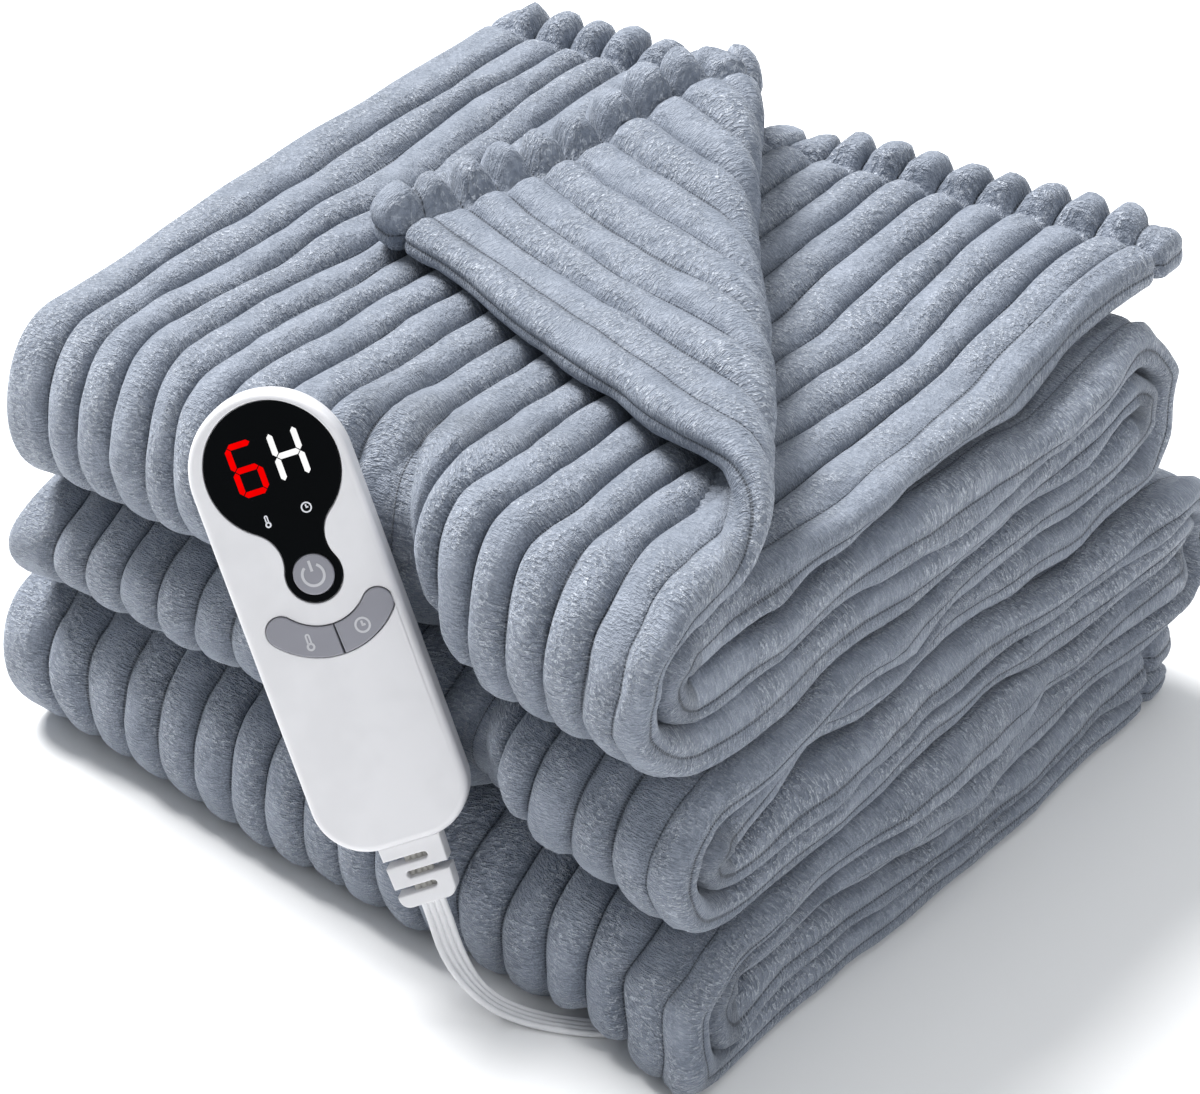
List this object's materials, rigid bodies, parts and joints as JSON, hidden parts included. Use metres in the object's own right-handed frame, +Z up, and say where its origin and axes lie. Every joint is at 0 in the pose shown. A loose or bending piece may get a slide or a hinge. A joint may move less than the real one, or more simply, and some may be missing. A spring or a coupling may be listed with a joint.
{
  "type": "electric heated throw",
  "caption": "Ribbed plush electric throw folded into a stack with one corner turned back, and a wired hand controller leaning on its front folds.",
  "frame": {"origin": "middle of the stack's plain part, on the surface that it rests on", "axes": "+Z up, +X along the fold lines towards the sides with the closed round edges, +Y along the ribs from the three front bulges to the hems at the back"},
  "size_m": [0.3304, 0.3467, 0.2124],
  "materials": {
    "ribbed_plush": "blue-grey flannel plush with raised ribs",
    "white_plastic": "satin white",
    "black_gloss": "gloss black",
    "grey_key": "matt grey",
    "white_cord": "satin white sheath"
  },
  "bodies": {
    "throw": {"blanket": "ribbed_plush", "controller_shell": "white_plastic", "display_panel": "black_gloss", "strain_relief": "white_plastic", "cord": "white_cord"},
    "power": {"power_key": "grey_key"},
    "left": {"left_key": "grey_key"},
    "right": {"right_key": "grey_key"}
  },
  "joints": [
    {"name": "power_press", "type": "slide", "parent": "throw", "child": "power", "axis": [-0.504, 0.8065, -0.309], "range_m": [0, 0.001], "stiffness_N_per_m": 800, "springref_m": -0.0005},
    {"name": "left_press", "type": "slide", "parent": "throw", "child": "left", "axis": [-0.504, 0.8065, -0.309], "range_m": [0, 0.001], "stiffness_N_per_m": 800, "springref_m": -0.0005},
    {"name": "right_press", "type": "slide", "parent": "throw", "child": "right", "axis": [-0.504, 0.8065, -0.309], "range_m": [0, 0.001], "stiffness_N_per_m": 800, "springref_m": -0.0005}
  ]
}
